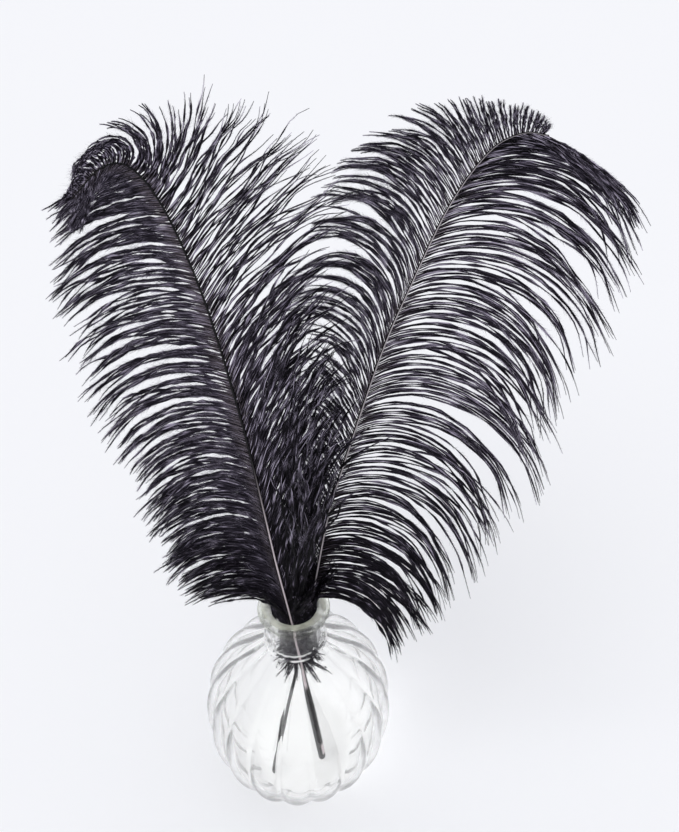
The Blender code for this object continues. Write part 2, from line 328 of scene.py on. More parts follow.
class Shaft:
    """A smooth curve through a plume's shaft points, read by the distance along it."""

    def __init__(self, knots, radii):
        self.radii = radii
        self.points = smooth_curve(knots, CURVE_STEPS)
        steps = np.linalg.norm(np.diff(self.points, axis=0), axis=1)
        self.marks = np.concatenate([[0], np.cumsum(steps)])
        self.length = self.marks[-1]

    def at(self, distance):
        distance = np.clip(distance, 0, self.length)
        return np.stack([np.interp(distance, self.marks, self.points[:, i]) for i in range(3)], -1)

    def frame(self, distance):
        """Along the shaft, out of the plume's front face, and across the plume to +X."""
        along = unit(self.at(distance + FRAME_REACH) - self.at(distance - FRAME_REACH))
        front = unit(FRONT - along * (along @ FRONT)[:, None])
        return along, front, np.cross(along, front)

    def radius(self, distance):
        return read_off(self.radii, distance)


def grid_triangles(number):
    """Two triangles to each cell of n grids of corner numbers."""
    a, b = number[:, :-1, :-1], number[:, :-1, 1:]
    c, d = number[:, 1:, 1:], number[:, 1:, :-1]
    return np.stack([np.stack([a, b, c], -1), np.stack([a, c, d], -1)], axis=-2).reshape(-1, 3)


def tube(lines, radii, sides, wide, thick):
    """Points, triangles and (along, around) shares of tubes along n lines of k points."""
    count, stations, _ = lines.shape
    turn = math.tau * (np.arange(sides + 1) + 0.5) / sides
    spoke = wide[:, :, None] * np.cos(turn)[:, None] + thick[:, :, None] * np.sin(turn)[:, None]
    points = lines[:, :, None] + spoke * radii[:, :, None, None]
    number = np.arange(points[..., 0].size).reshape(count, stations, sides + 1)
    along = np.broadcast_to(np.linspace(0, 1, stations)[None, :, None], number.shape)
    around = np.broadcast_to(np.linspace(0, 1, sides + 1)[None, None, :], number.shape)
    return points.reshape(-1, 3), grid_triangles(number), along.ravel(), around.ravel()


def horn_material(name, pale_and_highlight, dark, pale_from, pale_until):
    """Dyed horn: a pale strip down the front between dark edges, streaked lengthwise. The strip is
    partly pale horn where the dye took less, and partly a painted highlight.

    The strip comes in over pale_from and fades over pale_until: two shares of the shaft's
    length each, and the strip's strength there.
    """
    made, shader = new_material(name)
    map_uv = add_node(made, "UVMap", {}, uv_map="OFBake").outputs["UV"]
    split = add_node(made, "SeparateXYZ", {"Vector": map_uv})
    around, along = split.outputs["X"], split.outputs["Y"]
    off_front = add_node(made, "Math", (around, FRONT_TURN), operation="SUBTRACT").outputs[0]
    off_front = add_node(made, "Math", (off_front,), operation="ABSOLUTE").outputs[0]
    soft = {"interpolation_type": "SMOOTHSTEP"}
    pale_highlight_strip = add_node(made, "MapRange", (off_front, *PALE_HIGHLIGHT_EDGE), **soft).outputs[0]
    fade = add_node(made, "MapRange", (along, *pale_until), **soft).outputs[0]
    amount = add_node(made, "MapRange", (along, *pale_from)).outputs[0]
    place = add_node(made, "TexCoord", {}).outputs["Object"]
    stretched = {"Vector": place, "Scale": (1, 1, 1 / STREAK_STRETCH)}
    stretched = add_node(made, "Mapping", stretched).outputs["Vector"]
    streaks = {"Vector": stretched, "Scale": 1 / (STREAK_WIDTH * MM), "Detail": 2.0}
    streaks = add_node(made, "TexNoise", streaks).outputs["Fac"]
    streaks = add_node(made, "MapRange", (streaks, *STREAK_RANGE)).outputs[0]
    for part in (fade, pale_highlight_strip, streaks):
        amount = add_node(made, "Math", (amount, part), operation="MULTIPLY").outputs[0]
    # The lower end is cut slanting, which bares a strip of white pith on one side; the white strip
    # is also a painted highlight down that side.
    pith_and_highlight = add_node(made, "MapRange", (around, *PITH_HIGHLIGHT_SIDE)).outputs[0]
    for bounds in PITH_HIGHLIGHT_LENGTH:
        part = add_node(made, "MapRange", (along, *bounds)).outputs[0]
        pith_and_highlight = add_node(made, "Math", (pith_and_highlight, part), operation="MULTIPLY").outputs[0]
    amount = add_node(made, "Math", (amount, pith_and_highlight), operation="MAXIMUM").outputs[0]
    colour = {"Factor": amount, "A": linear(dark), "B": linear(pale_and_highlight)}
    colour = add_node(made, "Mix", colour, data_type="RGBA").outputs["Result"]
    made.node_tree.links.new(colour, shader.inputs["Base Color"])
    shader.inputs["Roughness"].default_value = 0.38
    shader.inputs["Specular IOR Level"].default_value = 0.25
    return made


def build_shaft(name, shaft, node, material):
    rings = np.linspace(0, shaft.length, int(shaft.length / SHAFT_RING_SPACING))
    _, front, across = shaft.frame(rings)
    radii = shaft.radius(rings)
    line = shaft.at(rings)[None]
    points, faces, along, around = tube(line, radii[None], SHAFT_SIDES, across[None], -front[None])
    ends = []
    for ring in (0, len(rings) - 1):
        first = ring * (SHAFT_SIDES + 1)
        corners = first + np.arange(SHAFT_SIDES)
        ends.append(np.stack([np.full(SHAFT_SIDES - 2, first), corners[1:-1], corners[2:]], -1))
    ends[0] = ends[0][:, ::-1]
    made = mesh_piece(name, points, np.vstack([faces, *ends]), np.stack([around, along], -1))
    made.data.materials.append(material)
    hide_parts(node)


left = Shaft(LEFT_SHAFT, LEFT_RADII)
right = Shaft(RIGHT_SHAFT, RIGHT_RADII)
# The pale strip, partly a painted highlight, fades out above the middle of the left shaft,
# where the dye took right through, and stays on most of the right one, which is greyer.
LEFT_PALE = {"pale_from": (0.18, 0.19, 0.0, 1.0), "pale_until": (0.46, 0.60, 1.0, 0.0)}
RIGHT_PALE = {"pale_from": (0.33, 0.37, 0.0, 1.0), "pale_until": (0.85, 1.0, 1.0, 0.5)}
left_horn = horn_material("dyed_horn_dark", "#d8ccd0", "#070508", **LEFT_PALE)
right_horn = horn_material("dyed_horn_grey", "#c4bcc0", "#0c0a0d", **RIGHT_PALE)
build_shaft("left_shaft", left, "left_plume", left_horn)
build_shaft("right_shaft", right, "right_plume", right_horn)

# ---- The barbs ----------------------------------------------------------------------
# Ostrich barbs are limp threads of horn, ten to twenty to a centimetre, each with a soft
# fringe of barbules on both sides. They are dyed black, which leaves a lilac-grey cast in
# the fringe, and they hang together in clumps that end in loose points.

# A vane's rows give, at a distance along the shaft, how long the barbs are, the angle at
# which they leave it and how far they then bend, in degrees. tilt is their lean to the
# front at root and tip, also by distance, and droop is the power that puts more of the bend
# near the tip. crowd is how close together the barbs stand, by distance.
LEFT_OUTER = {
    "side": -1,
    "tilt": ((98, 4, 34), (265, 4, 34), (290, 0, 8)),
    "droop": 1.0,
    "rows": (
        (98, 40, 14, 58),
        (112, 44, 20, 74),
        (140, 42, 33, 88),
        (168, 41, 44, 86),
        (190, 42, 53, 76),
        (215, 44, 58, 68),
        (240, 42, 58, 60),
        (258, 37, 60, 54),
        (270, 30, 68, 30),
        (278, 26, 66, 34),
        (286, 21, 50, 0),
        (293, 14, 28, -4),
        (301, 8, 32, -14),
    ),
    "crowd": ((98, 2.0), (125, 1.7), (165, 1.3), (260, 1.2), (280, 1.6)),
}
LEFT_INNER = {
    "side": 1,
    "tilt": ((98, 6, 20), (262, 6, 20), (275, 4, 12), (300, 4, 12)),
    "droop": 1.0,
    "rows": (
        (98, 84, 21, -6),
        (132, 76, 22, 0),
        (160, 68, 26, 6),
        (188, 56, 27, 24),
        (212, 54, 35, 34),
        (236, 57, 45, 30),
        (248, 54, 52, 16),
        (257, 48, 55, 3),
        (263, 43, 58, -8),
        (268, 36, 60, -20),
        (273, 29, 64, -40),
        (278, 22, 73, -96),
        (283, 15, 86, -148),
        (289, 10, 92, -152),
        (295, 5, 84, -124),
        (301, 3, 50, -60),
    ),
    "crowd": ((98, 1.8), (140, 1.5), (225, 1.3), (245, 1.8), (270, 2.0), (301, 1.8)),
}
RIGHT_OUTER = {
    "side": 1,
    "tilt": ((102, 0, 38), (262, 0, 38), (290, 0, 10), (307, 0, 0)),
    "droop": 0.85,
    "rows": (
        (102, 42, 68, 78),
        (122, 52, 66, 82),
        (144, 63, 56, 97),
        (173, 70, 52, 101),
        (200, 75, 47, 104),
        (230, 74, 45, 108),
        (252, 69, 46, 98),
        (268, 62, 42, 92),
        (276, 60, 36, 96),
        (284, 56, 31, 96),
        (292, 46, 30, 78),
        (300, 36, 26, 40),
        (308, 26, 12, 10),
    ),
    "crowd": ((102, 2.2), (122, 1.9), (145, 1.1), (255, 1.1), (285, 1.9), (308, 2.2)),
}
RIGHT_INNER = {
    "side": -1,
    "tilt": ((102, 4, 30), (270, 4, 30), (290, 0, 10)),
    "droop": 1.5,
    "rows": (
        (102, 34, 32, -12),
        (132, 32, 32, -12),
        (162, 26, 36, 18),
        (190, 33, 36, 22),
        (202, 44, 26, 80),
        (215, 48, 27, 104),
        (231, 46, 32, 96),
        (247, 44, 40, 84),
        (263, 42, 48, 68),
        (274, 37, 52, 58),
        (281, 28, 57, 30),
        (287, 20, 58, 4),
        (293, 14, 64, -12),
        (300, 9, 68, -16),
        (308, 2, 60, -10),
    ),
    "crowd": ((102, 1.0), (255, 1.1), (280, 1.5), (308, 2.2)),
}
BARB_SPACING = 0.9
# The shaft is read at this step to place the barbs, which then move about by BARB_SHIFT.
PLACING_STEP = 0.05
BARB_SHIFT = 0.2
BARB_STEPS = 18
BARB_SIDES = 3
BARB_ROOT_RADIUS = 0.15
BARB_TIP_RADIUS = 0.08
BARB_TAPER = 0.8
# Barbs start inside the shaft's edge, at this share of its radius.
ROOT_DEPTH = 0.8
# How unlike one another clumps are, and the barbs in a clump: in length as a share, and in
# degrees for the angle at the shaft, the bend and the lift off the vane.
CLUMP_LENGTHS = (-0.08, 0.06)
BARB_LENGTHS = 0.035
CLUMP_ANGLES = 1.5
BARB_ANGLES = 1.2
BARB_BENDS = 4.0
CLUMP_LIFTS = 7.0
BARB_LIFTS = 2.5
STRAY_ANGLES = 8.0
STRAY_LIFTS = 14.0
# The slow wave of a clump and the fine waviness of each barb: how many to a barb, how
# unlike they are and the power by which they grow along it.
WAVES = 1.3
WAVE_SIZES = (0.5, 1.3)
WAVE_PHASES = 0.05
WAVE_GROWTH = 0.5
RIPPLES = (2.2, 4.2)
RIPPLE_GROWTH = 0.3
# Barbs of this length hang together in full. Where they close up varies between clumps,
# and at the tip they come apart again.
LIMP_LENGTH = 34.0
CLOSING_STARTS = (0.5, 1.7)
CLOSING_SPANS = (0.75, 1.25)
LOOSE_FROM = 0.8
WEB_WIDTH = 0.64
# The web lies this far behind its barb, and its edges come forward again by a share of it.
WEB_BACK = 0.12
WEB_CURL = 0.8
WEB_BEATS = (2.0, 6.0)
WEB_FINER_BEAT = 1.7
WEB_BREADTHS = (0.1, 2)
# Barbules are drawn fewer and broader than real ones, so that they show.
BARBULE_LENGTH = 2.6
BARBULE_LENGTHS = (0.7, 1.15)
BARBULE_BASE = 0.11
# Means and spreads, in degrees.
BARBULE_ANGLE = (24.0, 8.0)
BARBULE_ROLL = (-14.0, 24.0)
# Thicker and thinner patches of barbules, a few barbs wide: the mean, how much they vary,
# and the beats of two slanting waves across the barbs and along them.
PATCH_MEAN = 0.8
PATCH_SIZE = 0.3
PATCH_BEATS = ((0.41, 7), (0.13, -17))
# Each barb has a row of the UV map to itself, which holds the thread, from its start and as
# high as given, the web's three lines and a barbule's corners.
THREAD_ROW = (0.05, 0.25)
WEB_ROW = (0.35, 0.47, 0.6)
BARBULE_ROW = (0.65, 0.65, 0.95)
BARBULE_ALONG = (0.0, 0.0008, 0.0004)
# How much of the fringe's lighter colour shows on the web's lines and a barbule's corners.
WEB_SHADE = (0.8, 0.4, 0.8)
BARBULE_SHADE = (0.55, 0.55, 1.0)
MOST_TRIANGLES = 175000


def smooth_step(value, low, high):
    t = np.clip((value - low) / (high - low), 0, 1)
    return t * t * (3 - 2 * t)


def in_groups(count, smallest, largest, spread):
    """A group number for each of a row of barbs, with the groups' sizes drawn from a range."""
    sizes = spread.integers(smallest, largest + 1, count)
    ends = np.cumsum(sizes)
    return np.searchsorted(ends, np.arange(count), side="right")


def gather(lines, length, groups, tightness, pull, spread):
    """Draws each group of barbs towards its middle barb, more and more along their length."""
    share = np.linspace(0, 1, lines.shape[1])
    limp = np.clip(length / LIMP_LENGTH, 0, 1) ** 2 * tightness
    for group in np.unique(groups):
        members = np.flatnonzero(groups == group)
        middle = lines[members[len(members) // 2]]
        tangent = unit(np.gradient(middle, axis=0))
        offset = lines[members] - middle
        offset = offset - (offset * tangent).sum(-1, keepdims=True) * tangent
        low, high, least, most, loose = pull
        strength = spread.uniform(least, most)
        low = low * spread.uniform(*CLOSING_STARTS)
        high = low + (high - low) * spread.uniform(*CLOSING_SPANS)
        hold = strength * smooth_step(share, low, high)
        hold = hold * (1 - loose * smooth_step(share, LOOSE_FROM, 1.0))
        lines[members] = lines[members] - offset * limp[members, None, None] * hold[None, :, None]
    return lines


def grown(headings, length):
    """Lines from zero that take one equal step of their length along each heading."""
    count, steps, _ = headings.shape
    moves = headings * (length / steps)[:, None, None]
    return np.concatenate([np.zeros((count, 1, 3)), np.cumsum(moves, axis=1)], axis=1)


def barb_lines(shaft, vane, spread, looks):
    """Lines down the barbs of one vane, clumped, with what their fringe needs to know."""
    rows = np.array(vane["rows"], float)
    # Barbs stand closer together where the shaft curls.
    last = min(rows[-1, 0], shaft.length - 0.5)
    fine = np.arange(rows[0, 0], last, PLACING_STEP)
    crowd = np.cumsum(read_off(vane["crowd"], fine)) * PLACING_STEP / BARB_SPACING
    marks = np.interp(np.arange(1, int(crowd[-1])), crowd, fine)
    marks = marks + spread.uniform(-BARB_SHIFT, BARB_SHIFT, len(marks))
    count = len(marks)
    length, angle, bend = (np.interp(marks, rows[:, 0], rows[:, i]) for i in (1, 2, 3))
    clumps = in_groups(count, *looks["clump"], spread)
    strands = in_groups(count, *looks["strand"], spread)
    kinds = clumps.max() + 1
    by_clump = spread.uniform(*CLUMP_LENGTHS, kinds)[clumps]
    length = length * (1 + by_clump + spread.normal(0, BARB_LENGTHS, count))
    angle = angle + spread.uniform(-CLUMP_ANGLES, CLUMP_ANGLES, kinds)[clumps]
    angle = angle + spread.normal(0, BARB_ANGLES, count)
    splay = looks["splay"]
    bend = bend + spread.uniform(-splay, splay, kinds)[clumps]
    bend = bend + spread.normal(0, BARB_BENDS, count)
    lift = spread.uniform(-CLUMP_LIFTS, CLUMP_LIFTS, kinds)[clumps]
    lift = lift + spread.normal(0, BARB_LIFTS, count)
    stray = spread.random(count) < looks["stray"]
    angle = angle + np.where(stray, spread.uniform(-STRAY_ANGLES, STRAY_ANGLES, count), 0)
    lift = lift + np.where(stray, spread.uniform(-STRAY_LIFTS, STRAY_LIFTS, count), 0)
    phase = spread.uniform(0, 1, kinds)[clumps] + spread.normal(0, WAVE_PHASES, count)
    ripples = spread.uniform(*RIPPLES, (count, 1))
    ripple_start = spread.uniform(0, 1, (count, 1))
    ripple_size = spread.uniform(0, looks["ripple"], (count, 1))
    wave_size = read_off(looks["wave"], marks) * spread.uniform(*WAVE_SIZES, kinds)[clumps]
    along, front, across = shaft.frame(marks)
    outward = across * vane["side"]
    share = np.linspace(0, 1, BARB_STEPS + 1)[None, :-1]
    wave = np.sin(math.tau * (share * WAVES + phase[:, None]))
    ripple = np.sin(math.tau * (share * ripples + ripple_start))
    wave = wave_size[:, None] * wave * share**WAVE_GROWTH
    wave = wave + ripple_size * ripple * share**RIPPLE_GROWTH
    turn = np.radians(angle[:, None] + bend[:, None] * share ** vane["droop"] + wave)
    tilts = np.array(vane["tilt"], float)
    tilt_root, tilt_tip = (np.interp(marks, tilts[:, 0], tilts[:, i])[:, None] for i in (1, 2))
    tilt = np.radians(tilt_root + (tilt_tip - tilt_root + lift[:, None]) * share)
    flat = along[:, None] * np.cos(turn)[..., None] + outward[:, None] * np.sin(turn)[..., None]
    heading = flat * np.cos(tilt)[..., None] + front[:, None] * np.sin(tilt)[..., None]
    root = shaft.at(marks) + outward * shaft.radius(marks)[:, None] * ROOT_DEPTH
    lines = grown(heading, length) + root[:, None]
    # Strays are groups of one, with numbers of their own below zero.
    held = np.where(stray, -1 - np.arange(count), clumps)
    hold = read_off(looks["hold"], marks)
    lines = gather(lines, length, held, hold, looks["pull"], spread)
    held = np.where(stray, held, strands)
    lines = gather(lines, length, held, np.ones(count), looks["strand_pull"], spread)
    # Painted shade: the fringe is darkened towards the base of the vane, where the barbs lie many
    # deep.
    painted_lightness = np.broadcast_to(read_off(looks["painted_shading"], marks)[:, None], lines.shape[:2])
    full = read_off(looks["full"], marks)
    return lines, length, np.broadcast_to(front[:, None], lines.shape), painted_lightness, full


def fringe(lines, length, front, full, count, looks, spread):
    """Barbules: one slim triangle each, set along the barbs by their length."""
    ends = np.concatenate([[0], np.cumsum(length)])
    place = (np.arange(count) + spread.random(count)) / count * ends[-1]
    barb = np.clip(np.searchsorted(ends, place, side="right") - 1, 0, len(length) - 1)
    share = np.clip((place - ends[barb]) / length[barb], 0, 0.999)
    station = share * (lines.shape[1] - 1)
    low = station.astype(int)
    part = (station - low)[:, None]
    start, end = lines[barb, low], lines[barb, low + 1]
    root = start + (end - start) * part
    tangent = unit(end - start)
    face = front[barb, low]
    sideways = unit(np.cross(tangent, face)) * np.where(spread.random(count) < 0.5, 1, -1)[:, None]
    face = unit(face - (face * tangent).sum(-1, keepdims=True) * tangent)
    roll = np.radians(spread.normal(*BARBULE_ROLL, count))[:, None]
    lean = np.radians(spread.normal(*BARBULE_ANGLE, count))[:, None]
    out = sideways * np.cos(roll) + face * np.sin(roll)
    heading = tangent * np.cos(lean) + out * np.sin(lean)
    shorter = read_off(looks["fringe"], share) * spread.uniform(*BARBULE_LENGTHS, count)
    shorter = shorter * full[barb]
    first, second = (np.sin(barb * across + share * along) for across, along in PATCH_BEATS)
    shorter = shorter * (PATCH_MEAN + PATCH_SIZE * first * second)
    reach = (BARBULE_LENGTH * shorter)[:, None]
    half = tangent * BARBULE_BASE / 2
    points = np.stack([root - half, root + half, root + heading * reach], axis=1)
    return points, barb, share, low


def web(lines, front, wide, full, looks, spread):
    """The matted part of the fringe: a ragged ribbon behind each barb, widest at mid length."""
    count, stations, _ = lines.shape
    share = np.linspace(0, 1, stations)
    broad = read_off(looks["web"], share) * WEB_WIDTH / 2 * full[:, None]
    phase = spread.uniform(0, math.tau, (2, count, 1))
    beat = spread.uniform(*WEB_BEATS, (2, count, 1))
    ragged = np.sin(share * math.tau * beat[0] + phase[0])
    ragged = ragged + np.sin(share * math.tau * beat[1] * WEB_FINER_BEAT + phase[1])
    broad = (broad * np.clip(1 + looks["ragged"] * ragged, *WEB_BREADTHS))[..., None]
    middle = lines - front * WEB_BACK
    edge = front * WEB_BACK * WEB_CURL
    points = np.stack([middle - wide * broad - edge, middle, middle + wide * broad - edge], axis=2)
    number = np.arange(count * stations * 3).reshape(count, stations, 3)
    return points.reshape(-1, 3), grid_triangles(number)


def barb_piece(name, lines, length, front, painted_lightness, full, node, looks, spread):
    """Barbs as slim tubes with a web behind them, and as many barbules as the piece may hold."""
    barbs, stations, _ = lines.shape
    tangent = unit(np.gradient(lines, axis=1))
    wide = unit(np.cross(tangent, front))
    share = np.linspace(0, 1, stations)
    taper = (1 - share) ** BARB_TAPER
    radii = BARB_TIP_RADIUS + (BARB_ROOT_RADIUS - BARB_TIP_RADIUS) * taper
    radii = np.broadcast_to(radii, lines.shape[:2])
    points, faces, along, around = tube(lines, radii, BARB_SIDES, wide, np.cross(wide, tangent))
    row = np.repeat(np.arange(barbs), len(points) // barbs)
    uvs = np.stack([along, (row + THREAD_ROW[0] + THREAD_ROW[1] * around) / barbs], -1)
    web_points, web_faces = web(lines, front, wide, full, looks, spread)
    row = np.repeat(np.arange(barbs), stations * 3)
    along = np.tile(np.repeat(share, 3), barbs)
    across = np.tile(WEB_ROW, barbs * stations)
    web_uvs = np.stack([along, (row + across) / barbs], -1)
    spare = MOST_TRIANGLES - len(faces) - len(web_faces)
    count = min(spare, int(length.sum() / looks["fringe_spacing"]))
    fuzz, barb, place, station = fringe(lines, length, front, full, count, looks, spread)
    u = np.clip((place[:, None] + BARBULE_ALONG).ravel(), 0, 1)
    v = (barb[:, None] + np.array(BARBULE_ROW)).ravel() / barbs
    first = len(points)
    second = first + len(web_points)
    made = mesh_piece(
        name,
        np.vstack([points, web_points, fuzz.reshape(-1, 3)]),
        np.vstack([faces, web_faces + first, np.arange(count * 3).reshape(-1, 3) + second]),
        np.vstack([uvs, web_uvs, np.stack([u, v], -1)]),
    )
    web_shade = np.tile(WEB_SHADE, barbs * stations) * np.repeat(painted_lightness.ravel(), 3)
    fuzz_shade = (np.array(BARBULE_SHADE) * painted_lightness[barb, station][:, None]).ravel()
    shade = np.concatenate([np.zeros(first), web_shade, fuzz_shade])
    layer = made.data.attributes.new("fringe", "FLOAT", "POINT")
    layer.data.foreach_set("value", shade.astype(np.float32))
    made.data.materials.append(barb_horn)
    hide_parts(node)


def build_vane(name, shaft, vane, node, seed, looks):
    """One side of a plume."""
    spread = np.random.default_rng(seed)
    lines, length, front, painted_lightness, full = barb_lines(shaft, vane, spread, looks)
    barb_piece(name, lines, length, front, painted_lightness, full, node, looks, spread)


# Black-dyed barb horn: near-black threads, and a fringe that is lighter where it thins out.
# Each barb turns as it goes, and its shine is painted on as highlights in streaks, drawn
# coarser than the real ones.
STREAKS_ALONG = 1.3
STREAKS_ACROSS = 240.0
PAINTED_SHINE_RANGE = (0.52, 0.66, 0.0, 1.0)
PAINTED_FLAT_RANGE = (0.60, 0.66, 0.0, 1.0)
PAINTED_SHINE_FADE = (100.0 * MM, 190.0 * MM, 0.82, 1.0)
THREAD_BLACK = "#050407"
PAINTED_THREAD_SHINE = "#766e82"
PAINTED_FLAT_SHINE = "#b8b0c4"
DYE_PATCH = 8.0
FRINGE_DARK = "#2a2631"
FRINGE_LIGHT = "#554e5f"
PAINTED_FRINGE_SHINE = "#a8a0b2"
ROOT_GREY = "#a3979c"
# Shares along a barb, and the strength at their ends.
ROOT_RANGE = (0.02, 0.12, 0.55, 0.0)
OUTER_RANGE = (0.1, 0.6, 1.0, 0.38)
barb_horn, shader = new_material("dyed_barb_horn")
place = add_node(barb_horn, "TexCoord", {}).outputs["Object"]
height = add_node(barb_horn, "SeparateXYZ", {"Vector": place}).outputs["Z"]
map_uv = add_node(barb_horn, "UVMap", {}, uv_map="OFBake").outputs["UV"]
along = add_node(barb_horn, "SeparateXYZ", {"Vector": map_uv}).outputs["X"]
drawn_out = {"Vector": map_uv, "Scale": (STREAKS_ALONG, STREAKS_ACROSS, 1)}
drawn_out = add_node(barb_horn, "Mapping", drawn_out).outputs["Vector"]
streaks = {"Vector": drawn_out, "Scale": 5.0, "Detail": 0.5}
streaks = add_node(barb_horn, "TexNoise", streaks).outputs["Fac"]
# Just above the neck the barbs lie many deep and face away from the light, so the painted shine
# fades out there.
open_share = add_node(barb_horn, "MapRange", (height, *PAINTED_SHINE_FADE)).outputs[0]
painted_shine_noise = add_node(barb_horn, "Math", (streaks, open_share), operation="MULTIPLY").outputs[0]
# Painted highlight: where the streaks are high, the thread's black is mixed towards a pale lilac.
painted_shine = add_node(barb_horn, "MapRange", (painted_shine_noise, *PAINTED_SHINE_RANGE)).outputs[0]
thread = {"Factor": painted_shine, "A": linear(THREAD_BLACK), "B": linear(PAINTED_THREAD_SHINE)}
thread = add_node(barb_horn, "Mix", thread, data_type="RGBA").outputs["Result"]
# Painted highlight: here and there a thread is painted pale along its whole turn, as if it lay flat
# to the light.
flat = add_node(barb_horn, "MapRange", (painted_shine_noise, *PAINTED_FLAT_RANGE)).outputs[0]
thread = {"Factor": flat, "A": thread, "B": linear(PAINTED_FLAT_SHINE)}
thread = add_node(barb_horn, "Mix", thread, data_type="RGBA").outputs["Result"]
# In patches the fringe took the dye better.
dye = {"Vector": place, "Scale": 1 / (DYE_PATCH * MM), "Detail": 3.0}
dye = add_node(barb_horn, "TexNoise", dye).outputs["Fac"]
soft = {"Factor": dye, "A": linear(FRINGE_DARK), "B": linear(FRINGE_LIGHT)}
soft = add_node(barb_horn, "Mix", soft, data_type="RGBA").outputs["Result"]
# The fringe takes the same painted highlight.
soft = {"Factor": painted_shine, "A": soft, "B": linear(PAINTED_FRINGE_SHINE)}
soft = add_node(barb_horn, "Mix", soft, data_type="RGBA").outputs["Result"]
# Close to the shaft the dye is thin and the horn's own pale grey shows through.
near_root = add_node(barb_horn, "MapRange", (along, *ROOT_RANGE)).outputs[0]
soft = {"Factor": near_root, "A": soft, "B": linear(ROOT_GREY)}
soft = add_node(barb_horn, "Mix", soft, data_type="RGBA").outputs["Result"]
# The dye is deepest in the soft outer half of the barbs.
# The fringe attribute holds each point's share of the fringe colour, times the painted shade and
# light of the vanes and the down.
soft_share = add_node(barb_horn, "Attribute", {}, attribute_name="fringe").outputs["Fac"]
left_over = add_node(barb_horn, "MapRange", (along, *OUTER_RANGE)).outputs[0]
soft_share = add_node(barb_horn, "Math", (soft_share, left_over), operation="MULTIPLY").outputs[0]
colour = {"Factor": soft_share, "A": thread, "B": soft}
colour = add_node(barb_horn, "Mix", colour, data_type="RGBA").outputs["Result"]
barb_horn.node_tree.links.new(colour, shader.inputs["Base Color"])
shader.inputs["Roughness"].default_value = 0.55
shader.inputs["Specular IOR Level"].default_value = 0.08

# How a vane looks. clump and strand: the fewest and most barbs that hang together. pull and
# strand_pull: the shares of their length between which they close up, the least and most
# that they do, and how much of that they lose at the tip. stray: the share of barbs that
# hang alone. wave, splay and ripple: degrees of slow wave, of difference between clumps and
# of fine waviness. painted_shading: how much of the fringe's lighter colour shows, low where
# shade is painted near the base of the vane. full: how broad the fringe is. hold: how firmly
# the clumps close. web and fringe: their breadth by the share of the barb. ragged: how uneven
# the web is. fringe_spacing: mm of barb to a barbule at best.
# All other pairs start with a distance along the shaft.
PLAIN = {
    "clump": (3, 9),
    "strand": (2, 3),
    "pull": (0.35, 1.0, 0.2, 0.65, 0.3),
    "strand_pull": (0.35, 0.9, 0.5, 0.95, 0.1),
    "stray": 0.22,
    "wave": ((0, 3.0), (310, 3.0)),
    "splay": 10.0,
    "ripple": 12.0,
    "painted_shading": ((98, 0.03), (150, 0.12), (195, 0.7), (220, 1.0), (310, 1.0)),
    "full": ((98, 1.4), (150, 1.35), (250, 1.3), (290, 1.0), (310, 1.0)),
    "hold": ((98, 1.0), (310, 1.0)),
    "web": ((0, 0.5), (0.16, 0.55), (0.35, 0.88), (0.6, 0.9), (0.82, 0.62), (0.93, 0.3), (1, 0.05)),
    "ragged": 0.4,
    "fringe": (
        (0, 0.35), (0.16, 0.45), (0.35, 0.85), (0.6, 0.95), (0.82, 0.75), (0.94, 0.45), (1, 0.15)
    ),
    "fringe_spacing": 0.06,
}
# The left plume's outer side: broad barbs with a thick fringe, hardly clumped.
FULL = {
    **PLAIN,
    "clump": (2, 6),
    "stray": 0.35,
    "splay": 5.0,
    "ripple": 14.0,
    "pull": (0.45, 1.0, 0.2, 0.6, 0.3),
    "painted_shading": ((98, 0.45), (150, 0.8), (195, 1.0), (310, 1.0)),
    "full": ((98, 2.2), (145, 2.0), (190, 1.45), (240, 1.2), (270, 1.3), (310, 1.6)),
    "hold": ((98, 0.3), (195, 0.35), (265, 0.4), (310, 0.7)),
    "web": ((0, 1.05), (0.15, 1.15), (0.3, 1.0), (0.6, 0.9), (0.8, 0.7), (0.93, 0.35), (1, 0.05)),
    "fringe": (
        (0, 0.7), (0.16, 0.9), (0.35, 0.95), (0.6, 0.9), (0.82, 0.75), (0.94, 0.45), (1, 0.15)
    ),
}
# Its inner side: finer barbs that stand up round the curl as a crown.
CROWN = {
    **PLAIN,
    "clump": (2, 6),
    "stray": 0.3,
    "wave": ((0, 3.0), (190, 4.0), (235, 10.0), (262, 10.0), (275, 3.0), (310, 1.0)),
    "full": ((98, 1.6), (175, 1.5), (210, 1.15), (240, 0.65), (264, 0.7), (274, 1.15), (310, 1.3)),
    "hold": ((98, 0.2), (180, 0.35), (230, 0.9), (310, 1.0)),
    "web": ((0, 1.0), (0.1, 0.95), (0.35, 0.88), (0.6, 0.9), (0.82, 0.62), (0.93, 0.3), (1, 0.05)),
}
# The right plume's outer side: long smooth barbs that close up early into drooping locks.
LONG = {
    **PLAIN,
    "clump": (4, 12),
    "pull": (0.12, 0.8, 0.3, 0.75, 0.5),
    "ripple": 8.0,
    "painted_shading": ((98, 0.4), (150, 0.8), (195, 1.0), (250, 1.0), (290, 1.4), (310, 1.4)),
    "full": ((102, 1.8), (125, 1.25), (150, 1.15), (250, 1.1), (280, 1.0), (310, 1.0)),
    "hold": ((102, 0.5), (135, 1.0), (310, 1.0)),
    "web": ((0, 0.7), (0.1, 0.85), (0.3, 1.05), (0.6, 1.05), (0.82, 0.65), (0.93, 0.3), (1, 0.05)),
}
build_vane("left_outer_barbs", left, LEFT_OUTER, "left_plume", 3, FULL)
build_vane("left_inner_barbs", left, LEFT_INNER, "left_plume", 5, CROWN)
build_vane("right_outer_barbs", right, RIGHT_OUTER, "right_plume", 7, LONG)
build_vane("right_inner_barbs", right, RIGHT_INNER, "right_plume", 9, PLAIN)

